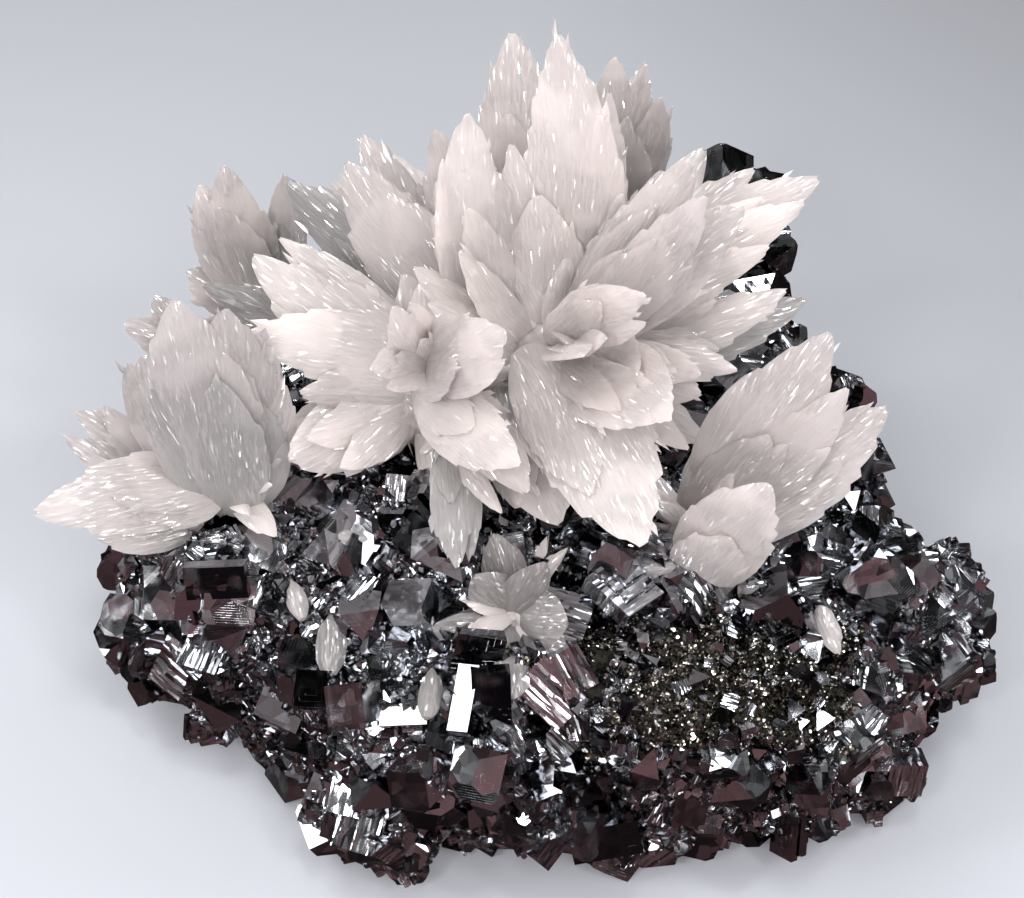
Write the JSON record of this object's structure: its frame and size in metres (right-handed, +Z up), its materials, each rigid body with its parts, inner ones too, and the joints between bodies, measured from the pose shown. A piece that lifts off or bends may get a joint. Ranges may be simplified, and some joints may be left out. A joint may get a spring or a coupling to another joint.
{
  "type": "mineral specimen",
  "caption": "Rosettes of milky white bladed calcite on a lumpy plate of bright grey galena crystals, a mineral specimen that rests on a flat underside.",
  "frame": {"origin": "on the flat underside of the galena plate, near the middle of the specimen", "axes": "+Z up out of the flat underside, +X along the specimen's longest side, -Y towards the side that the great tongue of calcite points to"},
  "size_m": [0.0922, 0.076, 0.076],
  "materials": {
    "galena": "bright metallic mirror faces on dark grey crystals",
    "calcite": "milky, pale pinkish white, translucent and silky",
    "druse": "fine dark brown sparkling crystals"
  },
  "bodies": {
    "root": {"galena_matrix": "galena", "brown_druse": "druse", "calcite_rosette": "calcite", "calcite_rear_fan": "calcite", "calcite_rear_left_cluster": "calcite", "calcite_left_bud": "calcite", "calcite_left_front_cluster": "calcite", "calcite_right_front_cluster": "calcite", "calcite_lower_cluster": "calcite", "lens_crystal_centre": "calcite", "lens_crystal_front": "calcite", "lens_crystal_left": "calcite", "lens_crystal_rim": "calcite", "lens_crystal_pink": "calcite", "block_crystal_right": "calcite", "block_crystal_centre": "calcite"}
  },
  "joints": []
}
